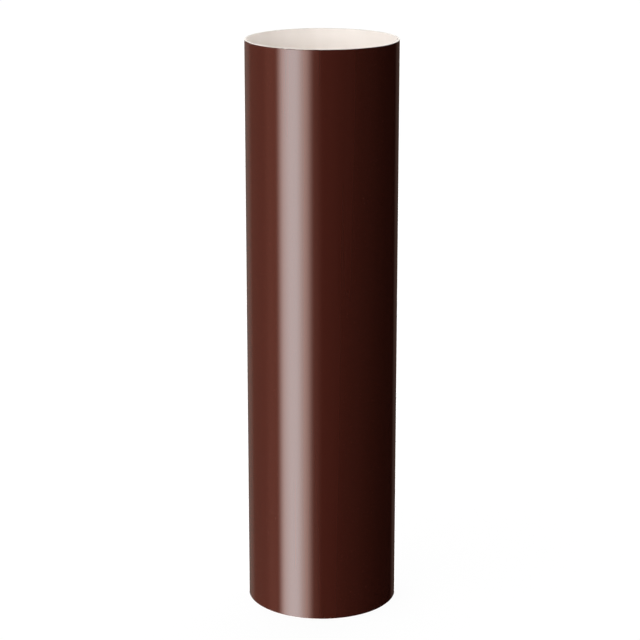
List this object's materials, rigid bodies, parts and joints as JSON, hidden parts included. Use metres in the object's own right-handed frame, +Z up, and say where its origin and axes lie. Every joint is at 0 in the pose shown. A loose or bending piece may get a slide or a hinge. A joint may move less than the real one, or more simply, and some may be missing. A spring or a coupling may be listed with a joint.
{
  "type": "downpipe",
  "caption": "Round plastic rainwater downpipe, gloss brown outside and pale inside, with plain ends cut square, for carrying water down from a gutter.",
  "frame": {"origin": "centre of the lower end, on the pipe's axis, at the level that the pipe stands on", "axes": "+Z up along the pipe's axis; the pipe is round, so +X and +Y are any two directions square to it"},
  "size_m": [0.1, 0.1, 0.38],
  "materials": {
    "brown_plastic": "gloss"
  },
  "bodies": {
    "root": {"downpipe": "brown_plastic"}
  },
  "joints": []
}
